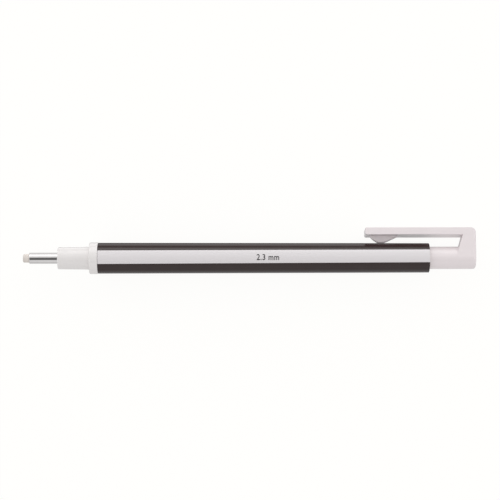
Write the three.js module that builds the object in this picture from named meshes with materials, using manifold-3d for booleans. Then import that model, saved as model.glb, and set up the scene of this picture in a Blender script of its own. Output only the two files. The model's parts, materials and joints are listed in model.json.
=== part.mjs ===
// A push-button eraser pen: a thin round eraser stick held by a spring-loaded chuck in a slim barrel.
// Pressing the rear button, which carries the pocket clip, feeds the stick out of a steel tip pipe.
//
// Units are millimetres. Each piece is drawn in the pen's own frame: +X runs along the axis from the
// eraser's tip to the button, +Y points at the clip and +Z runs across the clip's width. The pen is
// then rolled about its axis until it lies on a table, on its barrel and the edge of its clip, with
// +Z up and the origin under the middle of the whole object.

import * as THREE from 'three';
import { mergeVertices } from 'three/addons/utils/BufferGeometryUtils.js';
import Module from 'manifold-3d';

const wasm = await Module();
wasm.setup();

// Driving dimensions

const TOTAL_LENGTH = 120;
const FIT_GAP = 0.06; // radial gap between pieces that are pressed or glued together
const SLIDE_GAP = 0.07; // radial gap round pieces that slide
const END_GAP = 0.2; // gap at the bottom of a seat
const OUTER_SIDES = 64; // facets round the pieces that show
const INNER_SIDES = 40; // facets round the pieces inside the barrel
const CORNER_STEPS = 6; // facets in a rounded corner

const ERASER = { length: 83, radius: 1.15, edge: 0.3 };
const PIPE = { front: 1.7, back: 14.4, radius: 1.44, bore: 1.23, lip: 0.2 };

const NOSE = {
  front: 9.3, step: 17.7, collarEnd: 19.95, back: 30,
  frontRadius: 2.9, stepRadius: 3.0, collarRadius: 4.19, spigotRadius: 3.05,
  edge: 0.25, collarEdge: 0.3,
};
const BARREL = { front: 20, back: 107.7, frontRadius: 4.09, backRadius: 3.9, bore: 3.12, edge: 0.12 };
const RETAINER = { front: 14.9, back: 17.9, radius: 2.2, bore: 1.21, relief: 0.5 };

// The chuck's head is a cone that the ring squeezes shut when the spring pulls it back.
const CHUCK = {
  front: 23, coneStart: 24, coneEnd: 27, back: 40.5,
  headRadius: 2.35, tailRadius: 1.8, gripBore: 1.21, tailBore: 1.35,
  slitEnd: 33, slitWidth: 0.5, jaws: 3,
};
const RING = { front: 26.2, back: 27.8, radius: 2.54, bore: 2.03, edge: 0.15 };
const RING_TRAVEL = 1.25; // the ring meets the shoulder in the nose after this much of the press
const SLEEVE = { front: 27.9, flange: 30.2, back: 31.2, bore: 1.92, radius: 2.55, flangeRadius: 3.0 };
const HOLDER = {
  front: 36.2, flange: 42.7, flangeEnd: 43.7, back: 49.5,
  frontRadius: 2.12, flangeRadius: 2.95, backRadius: 2.6, throat: 1.4,
};
const SPRING = { front: 31.3, back: 42.6, radius: 2.6, wire: 0.2, coils: 8, steps: 20, wireSides: 6 };
const TUBE = { front: 43.8, back: 106, radius: 2.1, bore: 1.4 };

// The button's stub slides in the barrel, and its block is a flat-sided upright that carries the clip.
const BUTTON = {
  front: 99, radius: 2.95, socketEnd: 106.1, coreRadius: 1.45, coreEnd: 116,
  wallLean: 0.296, // the block's front wall leans towards its end by this much X for each Y
  topCorner: 1.35, bottomCorner: 0.7, edge: 0.35,
};
const CLIP = {
  tip: 90.75, root: 116.3, under: 5.88, outer: 7.78, tipTopCorner: 0.25, tipUnderCorner: 0.45,
  rootGap: 0.2, // the slot that lets the arm turn at its root
  ribWidth: 1.5, ribStart: 91.95, ribLow: 93.9, ribFlat: 95.4, ribEnd: 100.1, ribGap: 0.06,
};

// Geometry helpers

// A profile of [x, radius] points turned about the X axis: along the outside towards the button, then
// back along the bore. It starts and ends on the axis, or is closed on itself here.
function turned(profile, sides) {
  const points = profile.map(([x, r]) => new THREE.Vector2(r, x));
  const onAxis = profile[0][1] === 0 && profile.at(-1)[1] === 0;
  if (!onAxis) points.push(points[0].clone());
  return new THREE.LatheGeometry(points, sides).rotateZ(-Math.PI / 2);
}

// The quarter circle from one point of a profile to another, as points. The arc bulges towards the
// corner where its two tangents meet.
function rounded(from, corner, to) {
  return Array.from({ length: CORNER_STEPS + 1 }, (_, i) => {
    const a = (i / CORNER_STEPS) * (Math.PI / 2);
    const [u, v] = [1 - Math.sin(a), 1 - Math.cos(a)];
    return corner.map((c, k) => c + (from[k] - c) * u + (to[k] - c) * v);
  });
}

function rod(front, back, radius) {
  return turned([[front, 0], [front, radius], [back, radius], [back, 0]], INNER_SIDES);
}

// A front edge of a turned piece, rounded from its end face on to its outside.
function softCorner(x, radius, edge) {
  return rounded([x, radius - edge], [x, radius], [x + edge, radius]);
}

function box(x0, x1, y0, y1, z0, z1) {
  return new THREE.BoxGeometry(x1 - x0, y1 - y0, z1 - z0)
    .translate((x0 + x1) / 2, (y0 + y1) / 2, (z0 + z1) / 2);
}

// A closed outline in the XY plane, given depth along Z and centred on it.
function slab(outline, depth) {
  const shape = new THREE.Shape(outline.map(([x, y]) => new THREE.Vector2(x, y)));
  return new THREE.ExtrudeGeometry(shape, { depth, bevelEnabled: false }).translate(0, 0, -depth / 2);
}

function toSolid(geometry) {
  const bare = geometry.clone();
  bare.deleteAttribute('normal');
  bare.deleteAttribute('uv');
  const merged = mergeVertices(bare, 1e-4);
  const mesh = new wasm.Mesh({
    numProp: 3,
    vertProperties: new Float32Array(merged.attributes.position.array),
    triVerts: new Uint32Array(merged.index.array),
  });
  return new wasm.Manifold(mesh);
}

function toGeometry(solid) {
  const mesh = solid.getMesh();
  const geometry = new THREE.BufferGeometry();
  geometry.setAttribute('position', new THREE.BufferAttribute(mesh.vertProperties, 3));
  geometry.setIndex(new THREE.BufferAttribute(mesh.triVerts, 1));
  const flat = geometry.toNonIndexed();
  flat.computeVertexNormals();
  return flat;
}

// Materials

function finish(color, roughness, metalness = 0) {
  return new THREE.MeshStandardMaterial({ color, roughness, metalness });
}

const FINISHES = {
  printedBarrel: finish(0x3a3332, 0.2),
  whitePlastic: finish(0xeae6e4, 0.35),
  naturalPlastic: finish(0xdedcd2, 0.5),
  eraserRubber: finish(0xf1ece6, 0.8),
  silicone: finish(0xc9cfd2, 0.6),
  polishedSteel: finish(0xd4d2d2, 0.15, 1),
  springSteel: finish(0xa9abb0, 0.3, 1),
  brass: finish(0xc4a04e, 0.3, 1),
};

function piece(name, geometry, material) {
  const mesh = new THREE.Mesh(geometry, material);
  mesh.name = name;
  return mesh;
}

// Front end

function eraserStick() {
  const { length, radius, edge } = ERASER;
  return turned([
    [0, 0],
    ...softCorner(0, radius, edge),
    [length, radius],
    [length, 0],
  ], OUTER_SIDES);
}

function guidePipe() {
  const { front, back, radius, bore, lip } = PIPE;
  return turned([
    [front, bore],
    ...softCorner(front, radius, lip),
    [back, radius],
    [back, bore],
  ], OUTER_SIDES);
}

function noseCone() {
  const n = NOSE;
  const pocket = RETAINER.front - END_GAP;
  const headRoom = RETAINER.back + END_GAP;
  const shoulder = RING.front - RING_TRAVEL;
  return turned([
    ...softCorner(n.front, n.frontRadius, n.edge),
    [n.step, n.stepRadius],
    ...softCorner(n.step, n.collarRadius, n.collarEdge),
    [n.collarEnd, n.collarRadius],
    [n.collarEnd, n.spigotRadius],
    [n.back, n.spigotRadius],
    [n.back, RING.radius + SLIDE_GAP],
    [shoulder, RING.radius + SLIDE_GAP],
    [shoulder, CHUCK.headRadius + SLIDE_GAP],
    [headRoom, CHUCK.headRadius + SLIDE_GAP],
    [headRoom, RETAINER.radius + FIT_GAP],
    [pocket, RETAINER.radius + FIT_GAP],
    [pocket, PIPE.radius + FIT_GAP],
    [n.front, PIPE.radius + FIT_GAP],
  ], OUTER_SIDES);
}

function tipRetainer() {
  const { front, back, radius, bore, relief } = RETAINER;
  const lip = (back - front) / 3; // a thin lip grips the stick, and the rest stands clear of it
  return turned([
    [front, radius],
    [back, radius],
    [back, bore + relief],
    [front + lip, bore],
    [front, bore],
  ], INNER_SIDES);
}

// Barrel

function barrelTube() {
  const { front, back, frontRadius, backRadius, bore, edge } = BARREL;
  return turned([
    [front, frontRadius],
    [back - edge, backRadius],
    [back, backRadius - edge],
    [back, bore],
    [front, bore],
  ], OUTER_SIDES);
}

// Feeding mechanism

function chuckCollet() {
  const c = CHUCK;
  const body = toSolid(turned([
    [c.front, c.headRadius],
    [c.coneStart, c.headRadius],
    [c.coneEnd, c.tailRadius],
    [c.back, c.tailRadius],
    [c.back, c.tailBore],
    [c.coneEnd, c.tailBore],
    [c.coneEnd, c.gripBore],
    [c.front, c.gripBore],
  ], INNER_SIDES));
  const slit = box(c.front - 1, c.slitEnd, 0, c.headRadius * 2, -c.slitWidth / 2, c.slitWidth / 2);
  let collet = body;
  for (let jaw = 0; jaw < c.jaws; jaw++) {
    collet = collet.subtract(toSolid(slit.clone().rotateX((jaw * 2 * Math.PI) / c.jaws)));
  }
  return toGeometry(collet);
}

function chuckRing() {
  const { front, back, radius, bore, edge } = RING;
  return turned([
    [front, radius - edge],
    [front + edge, radius],
    [back - edge, radius],
    [back, radius - edge],
    [back, bore],
    [front, bore],
  ], INNER_SIDES);
}

function chuckSleeve() {
  const s = SLEEVE;
  return turned([
    [s.front, s.radius],
    [s.flange, s.radius],
    [s.flange, s.flangeRadius],
    [s.back, s.flangeRadius],
    [s.back, s.bore],
    [s.front, s.bore],
  ], INNER_SIDES);
}

function chuckHolder() {
  const h = HOLDER;
  return turned([
    [h.front, h.frontRadius],
    [h.flange, h.frontRadius],
    [h.flange, h.flangeRadius],
    [h.flangeEnd, h.flangeRadius],
    [h.flangeEnd, h.backRadius],
    [h.back, h.backRadius],
    [h.back, TUBE.radius + FIT_GAP],
    [TUBE.front - END_GAP, TUBE.radius + FIT_GAP],
    [TUBE.front - END_GAP, h.throat],
    [CHUCK.back + END_GAP, h.throat],
    [CHUCK.back + END_GAP, CHUCK.tailRadius + FIT_GAP],
    [h.front, CHUCK.tailRadius + FIT_GAP],
  ], INNER_SIDES);
}

function refillTube() {
  const { front, back, radius, bore } = TUBE;
  return turned([[front, radius], [back, radius], [back, bore], [front, bore]], INNER_SIDES);
}

class Helix extends THREE.Curve {
  getPoint(t, target = new THREE.Vector3()) {
    const { front, back, radius, wire, coils } = SPRING;
    const turn = t * coils * 2 * Math.PI;
    const x = front + wire + t * (back - front - 2 * wire);
    return target.set(x, radius * Math.cos(turn), radius * Math.sin(turn));
  }
}

function chuckSpring() {
  const { wire, coils, steps, wireSides } = SPRING;
  const section = new THREE.Shape(Array.from({ length: wireSides }, (_, i) => {
    const a = (i / wireSides) * 2 * Math.PI;
    return new THREE.Vector2(wire * Math.cos(a), wire * Math.sin(a));
  }));
  return new THREE.ExtrudeGeometry(section, { steps: coils * steps, extrudePath: new Helix() });
}

// Button and clip

// The button's upright seen end-on: a half round the stub's radius, with flat sides up to the clip.
function uprightSection(edge) {
  const { radius } = BUTTON;
  const halfRound = Array.from({ length: INNER_SIDES / 2 + 1 }, (_, i) => {
    const a = Math.PI + (i / (INNER_SIDES / 2)) * Math.PI;
    return [radius * Math.cos(a), radius * Math.sin(a)];
  });
  return [
    ...halfRound,
    ...rounded([radius, CLIP.outer - edge], [radius, CLIP.outer], [radius - edge, CLIP.outer]),
    ...rounded([edge - radius, CLIP.outer], [-radius, CLIP.outer], [-radius, CLIP.outer - edge]),
  ];
}

// The same section, run along X between two positions.
function uprightBar(x0, x1) {
  const bar = slab(uprightSection(BUTTON.edge), x1 - x0).rotateY(Math.PI / 2);
  return toSolid(bar.translate((x0 + x1) / 2, 0, 0));
}

// Where the block's front wall stands at a height above the axis. It meets the clip's underside.
function wallAt(y) {
  return CLIP.root + CLIP.rootGap - BUTTON.wallLean * (CLIP.under - y);
}

function blockOutline() {
  const b = BUTTON;
  const low = -b.radius;
  const high = CLIP.outer;
  const end = TOTAL_LENGTH;
  return [
    [wallAt(low), low],
    ...rounded([end - b.bottomCorner, low], [end, low], [end, low + b.bottomCorner]),
    ...rounded([end, high - b.topCorner], [end, high], [end - b.topCorner, high]),
    [wallAt(CLIP.under), high],
    [wallAt(CLIP.under), CLIP.under],
  ];
}

function pushButton() {
  const b = BUTTON;
  const upright = uprightBar(wallAt(-b.radius) - 1, TOTAL_LENGTH + 1);
  const block = toSolid(slab(blockOutline(), 4 * b.radius)).intersect(upright);
  const stub = toSolid(rod(b.front, wallAt(b.radius) + 1, b.radius));
  const socket = toSolid(rod(b.front - 1, b.socketEnd, TUBE.radius + FIT_GAP));
  const core = toSolid(rod(b.socketEnd - 1, b.coreEnd, b.coreRadius));
  return toGeometry(block.add(stub).subtract(socket).subtract(core));
}

function armOutline() {
  const c = CLIP;
  return [
    ...rounded([c.tip, c.under + c.tipUnderCorner], [c.tip, c.under], [c.tip + c.tipUnderCorner, c.under]),
    [c.root, c.under],
    [c.root, c.outer],
    ...rounded([c.tip + c.tipTopCorner, c.outer], [c.tip, c.outer], [c.tip, c.outer - c.tipTopCorner]),
  ];
}

// The rib under the arm: steep towards the tip, flat where it bears on the barrel, then a long ramp.
function ribOutline() {
  const c = CLIP;
  const low = BARREL.backRadius + ribSlope() + c.ribGap;
  const inside = (c.under + c.outer) / 2;
  return [
    [c.ribStart, inside],
    ...rounded([c.ribStart, c.under], [c.ribStart, low], [c.ribLow, low]),
    [c.ribFlat, low],
    [c.ribEnd, c.under],
    [c.ribEnd, inside],
  ];
}

// How much wider the tapered barrel is under the rib than at its back end.
function ribSlope() {
  const taper = (BARREL.frontRadius - BARREL.backRadius) / (BARREL.back - BARREL.front);
  return taper * (BARREL.back - CLIP.ribStart);
}

function clipArm() {
  const c = CLIP;
  const bar = toSolid(slab(armOutline(), 4 * BUTTON.radius)).intersect(uprightBar(c.tip - 1, c.root + 1));
  return toGeometry(bar.add(toSolid(slab(ribOutline(), c.ribWidth))));
}

// Assembly

const pen = new THREE.Group();
pen.add(
  piece('eraser_refill', eraserStick(), FINISHES.eraserRubber),
  piece('guide_pipe', guidePipe(), FINISHES.polishedSteel),
  piece('nose_cone', noseCone(), FINISHES.whitePlastic),
  piece('tip_retainer', tipRetainer(), FINISHES.silicone),
  piece('barrel', barrelTube(), FINISHES.printedBarrel),
  piece('chuck', chuckCollet(), FINISHES.naturalPlastic),
  piece('chuck_ring', chuckRing(), FINISHES.brass),
  piece('chuck_sleeve', chuckSleeve(), FINISHES.naturalPlastic),
  piece('chuck_spring', chuckSpring(), FINISHES.springSteel),
  piece('chuck_holder', chuckHolder(), FINISHES.naturalPlastic),
  piece('refill_tube', refillTube(), FINISHES.naturalPlastic),
  piece('push_button', pushButton(), FINISHES.whitePlastic),
  piece('clip_arm', clipArm(), FINISHES.whitePlastic),
);

// The roll that brings the clip's rounded edge down to the plane that the barrel lies on.
function restRoll() {
  const cornerY = CLIP.outer - BUTTON.edge;
  const cornerZ = BUTTON.radius - BUTTON.edge;
  const reach = Math.hypot(cornerY, cornerZ);
  const middleRadius = (BARREL.frontRadius + BARREL.backRadius) / 2;
  return Math.PI / 2 - Math.atan2(cornerZ, cornerY) - Math.acos((middleRadius - BUTTON.edge) / reach);
}

pen.rotation.x = -restRoll();

const part = new THREE.Group();
part.add(pen);
const extent = new THREE.Box3().setFromObject(part, true);
const middle = extent.getCenter(new THREE.Vector3());
pen.position.set(-middle.x, -middle.y, -extent.min.z);

export default part;
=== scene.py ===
"""The looks of a push-button eraser pen, laid out as an add-on round its packed CAD model.

Pieces are drawn in millimetres in the pen's own frame, as the CAD is: +X runs along the axis from the
eraser's tip to the button, +Y points at the clip and +Z runs across the clip's width. They are then
placed in the model's frame, in metres, where the pen lies on a table, rolled until its clip's edge
comes down to it. The turned pieces take their profiles from the CAD solids that they stand for.
"""

import json
import math

import bmesh
import bpy
from bpy.props import (
    FloatProperty,
    FloatVectorProperty,
    IntProperty,
    PointerProperty,
)
from bpy.types import Operator, Panel, PropertyGroup
from mathutils import Matrix, Vector, noise


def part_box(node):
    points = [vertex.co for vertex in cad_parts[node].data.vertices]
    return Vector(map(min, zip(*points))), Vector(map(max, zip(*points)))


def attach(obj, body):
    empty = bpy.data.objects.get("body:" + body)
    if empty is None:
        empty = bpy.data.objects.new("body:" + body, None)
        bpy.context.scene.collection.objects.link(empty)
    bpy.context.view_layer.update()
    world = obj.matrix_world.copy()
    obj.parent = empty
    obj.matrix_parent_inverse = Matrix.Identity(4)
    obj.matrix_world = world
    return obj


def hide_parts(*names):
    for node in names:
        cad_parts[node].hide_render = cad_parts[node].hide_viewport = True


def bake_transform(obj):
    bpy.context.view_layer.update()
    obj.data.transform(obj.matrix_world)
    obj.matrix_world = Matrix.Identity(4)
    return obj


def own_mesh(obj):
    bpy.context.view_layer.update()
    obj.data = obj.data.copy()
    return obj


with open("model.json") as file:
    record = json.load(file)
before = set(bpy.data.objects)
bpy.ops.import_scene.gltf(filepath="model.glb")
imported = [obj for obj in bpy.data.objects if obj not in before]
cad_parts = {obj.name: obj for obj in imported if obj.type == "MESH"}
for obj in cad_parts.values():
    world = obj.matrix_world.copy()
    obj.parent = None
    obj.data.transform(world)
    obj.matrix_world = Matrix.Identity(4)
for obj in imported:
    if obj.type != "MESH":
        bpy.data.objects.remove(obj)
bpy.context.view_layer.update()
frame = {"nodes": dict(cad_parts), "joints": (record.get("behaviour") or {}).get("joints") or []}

bl_info = {
    "name": "Eraser Pen",
    "version": (1, 0, 0),
    "blender": (4, 5, 0),
    "location": "3D View > Sidebar > Eraser Pen",
    "description": "Builds the finished pieces of a push-button eraser pen round its CAD model",
    "category": "Object",
}

# ------------------------------------------------------------------ the pen's frame

MM = 0.001
JOINTS = {joint["name"]: joint for joint in frame["joints"]}


def middle(node):
    """The centre of a CAD node's box."""
    low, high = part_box(node)
    return (low + high) / 2


def rest_roll():
    """How far the pen is rolled about its axis where it lies, from the clip's hinge axis."""
    _, y, z = JOINTS["clip_flex"]["axis"]
    return math.atan2(-y, -z)


ROLL = rest_roll()
TIP = Vector((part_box("eraser_refill")[0].x, middle("barrel").y, middle("barrel").z))
PEN = Matrix.Translation(TIP) @ Matrix.Rotation(-ROLL, 4, "X") @ Matrix.Scale(MM, 4)
TO_PEN = PEN.inverted()


def cad_solid(node):
    """A CAD node's corners in the pen's frame, with equal ones merged, and its faces."""
    mesh = frame["nodes"][node].data
    found = {}
    corner = []
    for vertex in mesh.vertices:
        key = tuple(round(c, 3) for c in TO_PEN @ vertex.co)
        corner.append(found.setdefault(key, len(found)))
    faces = [[corner[i] for i in polygon.vertices] for polygon in mesh.polygons]
    return list(found), faces


def pen_box(node):
    """A CAD node's lowest and highest corner in the pen's frame."""
    points, _ = cad_solid(node)
    return Vector(map(min, *points)), Vector(map(max, *points))


# ------------------------------------------------------------------ profiles and sections

SHARP_TURN = math.radians(25)  # a profile turns more than this at a corner, and less within a round
ROUND_STEPS = 5  # facets across a quarter round
SUPPORT = 0.03  # how far past a round the point stands that keeps the flat beside it flat
CREASE = math.radians(38)  # faces that meet at more than this are shaded as a sharp edge


def on_meridian(point, meridian):
    """True for a point on the pen's axis, or on the half plane at an angle about it from the clip."""
    on_axis, on_plane = 0.002, 0.004
    _, y, z = point
    radius = math.hypot(y, z)
    aside = math.remainder(math.atan2(z, y) - meridian, math.tau)
    return radius < on_axis or radius * abs(aside) < on_plane


def cad_profile(node, meridian=0.0):
    """A turned CAD node's profile as (x, radius) points, along the outside and back along the bore."""
    points, faces = cad_solid(node)
    near = {i: set() for i, point in enumerate(points) if on_meridian(point, meridian)}
    for face in faces:
        for a, b in zip(face, face[1:] + face[:1]):
            if a in near and b in near and a != b:
                near[a].add(b)
                near[b].add(a)
    ends = [i for i in near if len(near[i]) == 1]
    walk = [min(ends or near)]
    ahead = near[walk[0]]
    while ahead:
        walk.append(min(ahead))
        ahead = near[walk[-1]].difference(walk)
    profile = [Vector((points[i][0], math.hypot(*points[i][1:]))) for i in walk]
    area = sum(a.cross(b) for a, b in zip(profile, profile[1:] + profile[:1]))
    return profile[::-1] if area > 0 else profile


def softened(profile, radius, closed=True):
    """A profile with its sharp corners rounded, as far as the sides beside each corner allow."""
    soft = []
    for i, corner in enumerate(profile):
        before = profile[i - 1] - corner
        after = profile[(i + 1) % len(profile)] - corner
        turn = math.pi - before.angle(after, math.pi)
        if turn < SHARP_TURN or not closed and i in (0, len(profile) - 1):
            soft.append(corner)
            continue
        half = (math.pi - turn) / 2
        reach = min(radius / math.tan(half), 0.4 * before.length, 0.4 * after.length)
        arc = reach * math.tan(half)
        centre = corner + (before.normalized() + after.normalized()).normalized() * arc / math.sin(half)
        start = corner + before.normalized() * reach
        end = corner + after.normalized() * reach
        if before.length > 5 * reach:
            soft.append(start + before.normalized() * SUPPORT)
        for step in range(ROUND_STEPS + 1):
            spoke = (start - centre).slerp(end - centre, step / ROUND_STEPS)
            soft.append(centre + spoke.normalized() * arc)
        if after.length > 5 * reach:
            soft.append(end + after.normalized() * SUPPORT)
    return soft


def rounding(x, end, radius):
    """How far a surface has fallen away at x, where it rounds over by a radius towards an end face."""
    depth = min(max(x - (end - radius), 0.0), radius)
    return radius - math.sqrt(radius**2 - depth**2)


def swept(start, end, steps):
    """Angles in equal steps from one to another: the ends in degrees, the result in radians."""
    return [math.radians(start + (end - start) * k / steps) for k in range(steps + 1)]


def eased(value, low, high):
    """0 below low and 1 above high, with a smooth step between them."""
    share = min(max((value - low) / (high - low), 0.0), 1.0)
    return share * share * (3 - 2 * share)


def corner_arc(y, z, radius, start, support=SUPPORT):
    """A quarter round about a centre, from a start angle in degrees, with a support point either side."""
    arc = [(y + radius * math.cos(a), z + radius * math.sin(a)) for a in swept(start, start + 90, 6)]
    first, last = math.radians(start), math.radians(start + 90)
    before = (arc[0][0] + support * math.sin(first), arc[0][1] - support * math.cos(first))
    after = (arc[-1][0] - support * math.sin(last), arc[-1][1] + support * math.cos(last))
    return [before, *arc, after]


def rounded_section(low, high, half, high_round, low_round, support=SUPPORT):
    """A box section with rounded corners as (y, z) points, from the top round by way of +Z."""
    top, bottom = high - high_round, low + low_round
    return (
        corner_arc(top, half - high_round, high_round, 0, support)
        + corner_arc(bottom, half - low_round, low_round, 90, support)
        + corner_arc(bottom, low_round - half, low_round, 180, support)
        + corner_arc(top, high_round - half, high_round, 270, support)
    )


# ------------------------------------------------------------------ node helpers


def add(tree, kind, values=(), **settings):
    """A new node with its settings, and its inputs given as values or as sockets to link from."""
    node = tree.nodes.new(kind)
    for name, value in settings.items():
        setattr(node, name, value)
    for key, value in dict(values).items():
        if isinstance(value, bpy.types.NodeSocket):
            tree.links.new(value, node.inputs[key])
        else:
            node.inputs[key].default_value = value
    return node


def maths(tree, operation, *values):
    """One step of arithmetic on numbers or sockets."""
    return add(tree, "ShaderNodeMath", enumerate(values), operation=operation).outputs[0]


def ranged(tree, value, low, high, to_low=0.0, to_high=1.0, ease="SMOOTHSTEP"):
    """A value's place between two limits, clamped, as a share of another range."""
    values = enumerate((value, low, high, to_low, to_high))
    return add(tree, "ShaderNodeMapRange", values, interpolation_type=ease).outputs[0]


def mixed(tree, share, first, second):
    """A mix of two colours, each given as a colour or as a socket."""
    node = add(tree, "ShaderNodeMix", data_type="RGBA")
    colours = [socket for socket in node.inputs if socket.type == "RGBA"]
    for socket, value in zip([node.inputs[0], *colours], (share, first, second)):
        if isinstance(value, bpy.types.NodeSocket):
            tree.links.new(value, socket)
        elif socket.type == "RGBA":
            socket.default_value = (*value[:3], 1)
        else:
            socket.default_value = value
    return next(socket for socket in node.outputs if socket.type == "RGBA")


def new_tree(name, kind, inputs, outputs):
    """A node group with the named inputs and outputs, and its input and output nodes."""
    tree = bpy.data.node_groups.new(name, kind)
    for label, socket_type, default in inputs:
        socket = tree.interface.new_socket(label, in_out="INPUT", socket_type=socket_type)
        if default is not None:
            socket.default_value = default
    for label, socket_type in outputs:
        tree.interface.new_socket(label, in_out="OUTPUT", socket_type=socket_type)
    return tree, tree.nodes.new("NodeGroupInput").outputs, tree.nodes.new("NodeGroupOutput").inputs


def made_once(make):
    """The node group of its name if it is there already, and otherwise a new one."""
    return bpy.data.node_groups.get(make.__doc__.split(":")[0]) or make()


# ------------------------------------------------------------------ geometry node trees


def finish_tree(tree, given, out, geometry):
    """Ends a geometry tree: real geometry, smooth, in the piece's material."""
    real = add(tree, "GeometryNodeRealizeInstances", {0: geometry}).outputs[0]
    smooth = add(tree, "GeometryNodeSetShadeSmooth", {"Geometry": real}).outputs[0]
    values = {"Geometry": smooth, "Material": given["Material"]}
    tree.links.new(add(tree, "GeometryNodeSetMaterial", values).outputs[0], out["Geometry"])
    return tree


def turned_tree():
    """Turned piece: turns a profile, given as a row of points in the XY plane, about the X axis."""
    tree, given, out = new_tree(
        "Turned piece",
        "GeometryNodeTree",
        [
            ("Profile", "NodeSocketGeometry", None),
            ("Sides", "NodeSocketInt", 144),
            ("Weld", "NodeSocketFloat", 0.0005),
            ("Material", "NodeSocketMaterial", None),
        ],
        [("Geometry", "NodeSocketGeometry")],
    )
    size = add(tree, "GeometryNodeAttributeDomainSize", {"Geometry": given["Profile"]})
    count = size.outputs["Point Count"]
    rows = maths(tree, "ADD", given["Sides"], 1.0)
    grid = add(tree, "GeometryNodeMeshGrid", {"Vertices X": rows, "Vertices Y": count}).outputs["Mesh"]
    index = tree.nodes.new("GeometryNodeInputIndex").outputs[0]
    row = maths(tree, "FLOOR", maths(tree, "DIVIDE", index, count))
    place = maths(tree, "SUBTRACT", index, maths(tree, "MULTIPLY", row, count))
    position = tree.nodes.new("GeometryNodeInputPosition").outputs[0]
    values = {"Geometry": given["Profile"], "Value": position, "Index": place}
    sample = tree.nodes.new("GeometryNodeSampleIndex")
    sample.data_type = "FLOAT_VECTOR"
    for key, value in values.items():
        tree.links.new(value, next(s for s in sample.inputs if s.name == key and s.enabled))
    point = next(socket for socket in sample.outputs if socket.enabled)
    split = add(tree, "ShaderNodeSeparateXYZ", {0: point}).outputs
    angle = maths(tree, "DIVIDE", maths(tree, "MULTIPLY", row, math.tau), given["Sides"])
    y = maths(tree, "MULTIPLY", split["Y"], maths(tree, "COSINE", angle))
    z = maths(tree, "MULTIPLY", split["Y"], maths(tree, "SINE", angle))
    spot = add(tree, "ShaderNodeCombineXYZ", {"X": split["X"], "Y": y, "Z": z}).outputs[0]
    wrapped = add(tree, "GeometryNodeSetPosition", {"Geometry": grid, "Position": spot}).outputs[0]
    weld = {"Geometry": wrapped, "Distance": given["Weld"]}
    return finish_tree(tree, given, out, add(tree, "GeometryNodeMergeByDistance", weld).outputs[0])


def slit_tree():
    """Slit jaws: cuts a turned piece into equal jaws from its front end."""
    tree, given, out = new_tree(
        "Slit jaws",
        "GeometryNodeTree",
        [
            ("Geometry", "NodeSocketGeometry", None),
            ("Jaws", "NodeSocketInt", 3),
            ("Slit Width", "NodeSocketFloat", 0.5),
            ("Front", "NodeSocketFloat", 0.0),
            ("Back", "NodeSocketFloat", 10.0),
            ("Inside", "NodeSocketFloat", 0.8),
            ("Outside", "NodeSocketFloat", 3.0),
            ("Material", "NodeSocketMaterial", None),
        ],
        [("Geometry", "NodeSocketGeometry")],
    )
    length = maths(tree, "SUBTRACT", given["Back"], given["Front"])
    depth = maths(tree, "SUBTRACT", given["Outside"], given["Inside"])
    values = {"X": length, "Y": depth, "Z": given["Slit Width"]}
    size = add(tree, "ShaderNodeCombineXYZ", values).outputs[0]
    cutter = add(tree, "GeometryNodeMeshCube", {"Size": size}).outputs[0]
    along = maths(tree, "MULTIPLY", maths(tree, "ADD", given["Back"], given["Front"]), 0.5)
    aside = maths(tree, "MULTIPLY", maths(tree, "ADD", given["Outside"], given["Inside"]), 0.5)
    offset = add(tree, "ShaderNodeCombineXYZ", {"X": along, "Y": aside}).outputs[0]
    moved = add(tree, "GeometryNodeTransform", {"Geometry": cutter, "Translation": offset}).outputs[0]
    spots = add(tree, "GeometryNodeMeshLine", {"Count": given["Jaws"], "Offset": (0, 0, 0)}).outputs[0]
    index = tree.nodes.new("GeometryNodeInputIndex").outputs[0]
    turn = maths(tree, "DIVIDE", maths(tree, "MULTIPLY", index, math.tau), given["Jaws"])
    facing = add(tree, "ShaderNodeCombineXYZ", {"X": turn}).outputs[0]
    values = {"Points": spots, "Instance": moved, "Rotation": facing}
    cutters = add(tree, "GeometryNodeInstanceOnPoints", values).outputs[0]
    real = add(tree, "GeometryNodeRealizeInstances", {0: cutters}).outputs[0]
    cut = add(tree, "GeometryNodeMeshBoolean", operation="DIFFERENCE", solver="EXACT")
    tree.links.new(given["Geometry"], cut.inputs["Mesh 1"])
    tree.links.new(real, cut.inputs["Mesh 2"])
    return finish_tree(tree, given, out, cut.outputs[0])


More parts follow.
